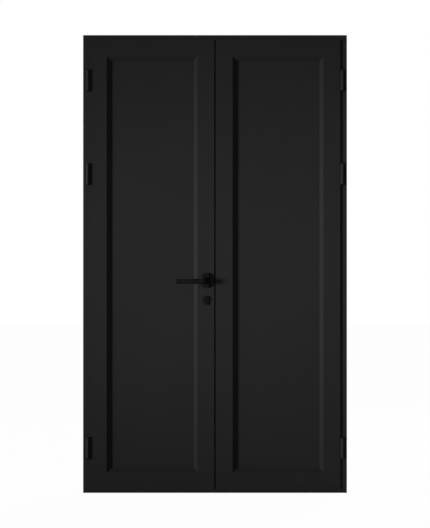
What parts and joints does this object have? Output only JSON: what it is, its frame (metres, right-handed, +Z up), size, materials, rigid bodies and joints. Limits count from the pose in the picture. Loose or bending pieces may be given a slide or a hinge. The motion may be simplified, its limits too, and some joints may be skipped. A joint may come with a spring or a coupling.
{
  "type": "double door with frame",
  "caption": "Dark coated aluminium double door in its frame: two flat-panelled leaves with mitred profiles and sloped beads, side hinges, a lever handle and a key cylinder.",
  "frame": {"origin": "on the floor under the middle of the threshold, at half the depth of the frame", "axes": "+X along the width towards the right-hand jamb, +Y through the door away from the hinge side, +Z up; the leaves swing towards -Y"},
  "size_m": [1.21, 0.178, 2.1],
  "materials": {
    "coated_aluminium": "near-black satin powder coat on aluminium extrusions",
    "coated_panel": "near-black satin powder coat on a flat sheet",
    "bare_aluminium": "mill finish",
    "steel": "satin steel",
    "rubber": "matt black",
    "black_hardware": "black satin lacquer"
  },
  "bodies": {
    "frame": {"frame_left_jamb": "coated_aluminium", "frame_right_jamb": "coated_aluminium", "frame_head": "coated_aluminium", "threshold": "coated_aluminium", "frame_corner_cleats": "bare_aluminium", "frame_gasket": "rubber", "left_hinge_frame_wings": "coated_aluminium", "right_hinge_frame_wings": "coated_aluminium", "hinge_pins": "steel", "hinge_caps": "black_hardware", "hinge_washers": "black_hardware", "frame_hinge_screws": "steel", "bolt_keepers": "steel"},
    "left_leaf": {"left_hinge_stile": "coated_aluminium", "left_meeting_stile": "coated_aluminium", "left_top_rail": "coated_aluminium", "left_bottom_rail": "coated_aluminium", "left_corner_cleats": "bare_aluminium", "left_panel": "coated_panel", "left_panel_packers": "rubber", "left_glazing_beads": "coated_aluminium", "left_panel_gaskets": "rubber", "left_meeting_profile": "coated_aluminium", "left_meeting_seal": "rubber", "left_meeting_caps": "black_hardware", "left_hinge_leaf_wings": "coated_aluminium", "left_leaf_screws": "steel", "lock_case": "steel", "lock_faceplate": "steel", "front_rosette": "black_hardware", "back_rosette": "black_hardware", "front_escutcheon": "black_hardware", "back_escutcheon": "black_hardware", "cylinder_body": "black_hardware"},
    "right_leaf": {"right_hinge_stile": "coated_aluminium", "right_meeting_stile": "coated_aluminium", "right_top_rail": "coated_aluminium", "right_bottom_rail": "coated_aluminium", "right_corner_cleats": "bare_aluminium", "right_panel": "coated_panel", "right_panel_packers": "rubber", "right_glazing_beads": "coated_aluminium", "right_panel_gaskets": "rubber", "right_meeting_profile": "coated_aluminium", "right_meeting_seal": "rubber", "right_meeting_caps": "black_hardware", "right_hinge_leaf_wings": "coated_aluminium", "right_leaf_screws": "steel", "strike_keep": "steel", "bolt_plates": "steel"},
    "lever": {"front_lever": "black_hardware", "back_lever": "black_hardware", "spindle": "steel", "lock_follower": "steel"},
    "latch": {"latch_bolt": "steel"},
    "deadbolt": {"deadbolt": "steel"},
    "key_plug": {"key_plugs": "black_hardware", "cylinder_cam": "steel"},
    "top_bolt": {"top_bolt": "steel"},
    "bottom_bolt": {"bottom_bolt": "steel"}
  },
  "joints": [
    {"name": "left_leaf_swing", "type": "hinge", "parent": "frame", "child": "left_leaf", "pos_m": [-0.583, -0.04, 1.05], "axis": [0, 0, -1], "range_deg": [0, 165]},
    {"name": "right_leaf_swing", "type": "hinge", "parent": "frame", "child": "right_leaf", "pos_m": [0.583, -0.04, 1.05], "axis": [0, 0, 1], "range_deg": [0, 165]},
    {"name": "lever_turn", "type": "hinge", "parent": "left_leaf", "child": "lever", "pos_m": [-0.042, -0.008, 0.975], "axis": [0, -1, 0], "range_deg": [0, 45], "stiffness_Nm_per_rad": 1.5, "springref_deg": -34.38},
    {"name": "latch_slide", "type": "slide", "parent": "left_leaf", "child": "latch", "axis": [-1, 0, 0], "range_m": [0, 0.0105]},
    {"name": "key_turn", "type": "hinge", "parent": "left_leaf", "child": "key_plug", "pos_m": [-0.042, -0.008, 0.89], "axis": [0, 1, 0], "range_deg": [0, 360]},
    {"name": "deadbolt_slide", "type": "slide", "parent": "left_leaf", "child": "deadbolt", "axis": [1, 0, 0], "range_m": [0, 0.02]},
    {"name": "top_bolt_slide", "type": "slide", "parent": "right_leaf", "child": "top_bolt", "axis": [0, 0, 1], "range_m": [0, 0.02]},
    {"name": "bottom_bolt_slide", "type": "slide", "parent": "right_leaf", "child": "bottom_bolt", "axis": [0, 0, -1], "range_m": [0, 0.02]}
  ],
  "couplings": [
    {"joint": "latch_slide", "follows": "lever_turn", "m_per_rad": 0.01336},
    {"joint": "key_turn", "follows": "deadbolt_slide", "rad_per_m": 314.15}
  ]
}
